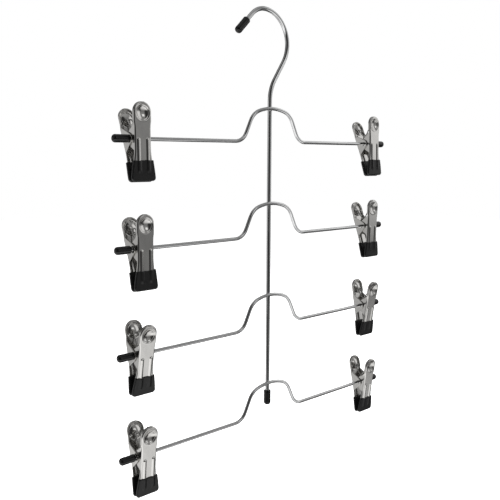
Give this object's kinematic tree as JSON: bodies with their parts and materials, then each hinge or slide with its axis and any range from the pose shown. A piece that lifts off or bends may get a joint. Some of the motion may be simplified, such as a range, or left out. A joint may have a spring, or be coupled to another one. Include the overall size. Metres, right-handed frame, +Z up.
{
  "type": "tiered hanger",
  "caption": "Tiered wire hanger for skirts and trousers: bent hook and stem, arched cross wires welded in front of it, and sprung clips with dipped jaws that slide, swing and open.",
  "frame": {"origin": "centre of the wardrobe rail lying in the hook's bend, in the stem wire's plane", "axes": "+X along the cross wires, towards the hook's closed side; -Y is the front, where the cross wires are welded; +Z up"},
  "size_m": [0.3276, 0.0318, 0.4086],
  "materials": {
    "chromed_wire": "bright chrome plating on drawn wire",
    "spring_wire": "plain drawn spring wire",
    "clip_steel": "bright nickel-plated pressed sheet",
    "black_vinyl": "smooth black vinyl, soft sheen",
    "dipped_vinyl": "dipped black vinyl, slightly uneven satin"
  },
  "bodies": {
    "frame": {"hook_stem": "chromed_wire", "hook_cap": "black_vinyl", "stem_cap": "black_vinyl", "tier_wire_1": "chromed_wire", "tier_wire_2": "chromed_wire", "tier_wire_3": "chromed_wire", "tier_wire_4": "chromed_wire", "end_cap_1_left": "black_vinyl", "end_cap_1_right": "black_vinyl", "end_cap_2_left": "black_vinyl", "end_cap_2_right": "black_vinyl", "end_cap_3_left": "black_vinyl", "end_cap_3_right": "black_vinyl", "end_cap_4_left": "black_vinyl", "end_cap_4_right": "black_vinyl"},
    "clip_1_left_slider": {"spring_1_left": "spring_wire"},
    "clip_1_left_front": {"front_plate_1_left": "clip_steel", "front_tip_1_left": "dipped_vinyl"},
    "clip_1_left_back": {"back_plate_1_left": "clip_steel", "back_tip_1_left": "dipped_vinyl"},
    "clip_1_right_slider": {"spring_1_right": "spring_wire"},
    "clip_1_right_front": {"front_plate_1_right": "clip_steel", "front_tip_1_right": "dipped_vinyl"},
    "clip_1_right_back": {"back_plate_1_right": "clip_steel", "back_tip_1_right": "dipped_vinyl"},
    "clip_2_left_slider": {"spring_2_left": "spring_wire"},
    "clip_2_left_front": {"front_plate_2_left": "clip_steel", "front_tip_2_left": "dipped_vinyl"},
    "clip_2_left_back": {"back_plate_2_left": "clip_steel", "back_tip_2_left": "dipped_vinyl"},
    "clip_2_right_slider": {"spring_2_right": "spring_wire"},
    "clip_2_right_front": {"front_plate_2_right": "clip_steel", "front_tip_2_right": "dipped_vinyl"},
    "clip_2_right_back": {"back_plate_2_right": "clip_steel", "back_tip_2_right": "dipped_vinyl"},
    "clip_3_left_slider": {"spring_3_left": "spring_wire"},
    "clip_3_left_front": {"front_plate_3_left": "clip_steel", "front_tip_3_left": "dipped_vinyl"},
    "clip_3_left_back": {"back_plate_3_left": "clip_steel", "back_tip_3_left": "dipped_vinyl"},
    "clip_3_right_slider": {"spring_3_right": "spring_wire"},
    "clip_3_right_front": {"front_plate_3_right": "clip_steel", "front_tip_3_right": "dipped_vinyl"},
    "clip_3_right_back": {"back_plate_3_right": "clip_steel", "back_tip_3_right": "dipped_vinyl"},
    "clip_4_left_slider": {"spring_4_left": "spring_wire"},
    "clip_4_left_front": {"front_plate_4_left": "clip_steel", "front_tip_4_left": "dipped_vinyl"},
    "clip_4_left_back": {"back_plate_4_left": "clip_steel", "back_tip_4_left": "dipped_vinyl"},
    "clip_4_right_slider": {"spring_4_right": "spring_wire"},
    "clip_4_right_front": {"front_plate_4_right": "clip_steel", "front_tip_4_right": "dipped_vinyl"},
    "clip_4_right_back": {"back_plate_4_right": "clip_steel", "back_tip_4_right": "dipped_vinyl"}
  },
  "joints": [
    {"name": "slide_1_left", "type": "slide", "parent": "frame", "child": "clip_1_left_slider", "axis": [1, 0, 0], "range_m": [0, 0.0887]},
    {"name": "swing_1_left", "type": "hinge", "parent": "clip_1_left_slider", "child": "clip_1_left_front", "pos_m": [-0.1359, -0.00325, -0.0946], "axis": [1, 0, 0], "continuous": true, "deforming": ["spring_1_left"]},
    {"name": "open_1_left", "type": "hinge", "parent": "clip_1_left_front", "child": "clip_1_left_back", "pos_m": [-0.1359, -0.00325, -0.0946], "axis": [1, 0, 0], "range_deg": [0, 34], "stiffness_Nm_per_rad": 0.08, "springref_deg": -51.57, "deforming": ["spring_1_left"]},
    {"name": "slide_1_right", "type": "slide", "parent": "frame", "child": "clip_1_right_slider", "axis": [-1, 0, 0], "range_m": [-0.0017, 0.085]},
    {"name": "swing_1_right", "type": "hinge", "parent": "clip_1_right_slider", "child": "clip_1_right_front", "pos_m": [0.1458, -0.00325, -0.0946], "axis": [1, 0, 0], "continuous": true, "deforming": ["spring_1_right"]},
    {"name": "open_1_right", "type": "hinge", "parent": "clip_1_right_front", "child": "clip_1_right_back", "pos_m": [0.1458, -0.00325, -0.0946], "axis": [1, 0, 0], "range_deg": [0, 34], "stiffness_Nm_per_rad": 0.08, "springref_deg": -51.57, "deforming": ["spring_1_right"]},
    {"name": "slide_2_left", "type": "slide", "parent": "frame", "child": "clip_2_left_slider", "axis": [1, 0, 0], "range_m": [-0.001, 0.0877]},
    {"name": "swing_2_left", "type": "hinge", "parent": "clip_2_left_slider", "child": "clip_2_left_front", "pos_m": [-0.1349, -0.00325, -0.1802], "axis": [1, 0, 0], "continuous": true, "deforming": ["spring_2_left"]},
    {"name": "open_2_left", "type": "hinge", "parent": "clip_2_left_front", "child": "clip_2_left_back", "pos_m": [-0.1349, -0.00325, -0.1802], "axis": [1, 0, 0], "range_deg": [0, 34], "stiffness_Nm_per_rad": 0.08, "springref_deg": -51.57, "deforming": ["spring_2_left"]},
    {"name": "slide_2_right", "type": "slide", "parent": "frame", "child": "clip_2_right_slider", "axis": [-1, 0, 0], "range_m": [-0.0009, 0.0858]},
    {"name": "swing_2_right", "type": "hinge", "parent": "clip_2_right_slider", "child": "clip_2_right_front", "pos_m": [0.1466, -0.00325, -0.1802], "axis": [1, 0, 0], "continuous": true, "deforming": ["spring_2_right"]},
    {"name": "open_2_right", "type": "hinge", "parent": "clip_2_right_front", "child": "clip_2_right_back", "pos_m": [0.1466, -0.00325, -0.1802], "axis": [1, 0, 0], "range_deg": [0, 34], "stiffness_Nm_per_rad": 0.08, "springref_deg": -51.57, "deforming": ["spring_2_right"]},
    {"name": "slide_3_left", "type": "slide", "parent": "frame", "child": "clip_3_left_slider", "axis": [1, 0, 0], "range_m": [0, 0.0887]},
    {"name": "swing_3_left", "type": "hinge", "parent": "clip_3_left_slider", "child": "clip_3_left_front", "pos_m": [-0.1359, -0.00325, -0.2658], "axis": [1, 0, 0], "continuous": true, "deforming": ["spring_3_left"]},
    {"name": "open_3_left", "type": "hinge", "parent": "clip_3_left_front", "child": "clip_3_left_back", "pos_m": [-0.1359, -0.00325, -0.2658], "axis": [1, 0, 0], "range_deg": [0, 34], "stiffness_Nm_per_rad": 0.08, "springref_deg": -51.57, "deforming": ["spring_3_left"]},
    {"name": "slide_3_right", "type": "slide", "parent": "frame", "child": "clip_3_right_slider", "axis": [-1, 0, 0], "range_m": [0, 0.0867]},
    {"name": "swing_3_right", "type": "hinge", "parent": "clip_3_right_slider", "child": "clip_3_right_front", "pos_m": [0.1475, -0.00325, -0.2658], "axis": [1, 0, 0], "continuous": true, "deforming": ["spring_3_right"]},
    {"name": "open_3_right", "type": "hinge", "parent": "clip_3_right_front", "child": "clip_3_right_back", "pos_m": [0.1475, -0.00325, -0.2658], "axis": [1, 0, 0], "range_deg": [0, 34], "stiffness_Nm_per_rad": 0.08, "springref_deg": -51.57, "deforming": ["spring_3_right"]},
    {"name": "slide_4_left", "type": "slide", "parent": "frame", "child": "clip_4_left_slider", "axis": [1, 0, 0], "range_m": [-0.0006, 0.0881]},
    {"name": "swing_4_left", "type": "hinge", "parent": "clip_4_left_slider", "child": "clip_4_left_front", "pos_m": [-0.1353, -0.00325, -0.3514], "axis": [1, 0, 0], "continuous": true, "deforming": ["spring_4_left"]},
    {"name": "open_4_left", "type": "hinge", "parent": "clip_4_left_front", "child": "clip_4_left_back", "pos_m": [-0.1353, -0.00325, -0.3514], "axis": [1, 0, 0], "range_deg": [0, 34], "stiffness_Nm_per_rad": 0.08, "springref_deg": -51.57, "deforming": ["spring_4_left"]},
    {"name": "slide_4_right", "type": "slide", "parent": "frame", "child": "clip_4_right_slider", "axis": [-1, 0, 0], "range_m": [0, 0.0867]},
    {"name": "swing_4_right", "type": "hinge", "parent": "clip_4_right_slider", "child": "clip_4_right_front", "pos_m": [0.1475, -0.00325, -0.3514], "axis": [1, 0, 0], "continuous": true, "deforming": ["spring_4_right"]},
    {"name": "open_4_right", "type": "hinge", "parent": "clip_4_right_front", "child": "clip_4_right_back", "pos_m": [0.1475, -0.00325, -0.3514], "axis": [1, 0, 0], "range_deg": [0, 34], "stiffness_Nm_per_rad": 0.08, "springref_deg": -51.57, "deforming": ["spring_4_right"]}
  ]
}
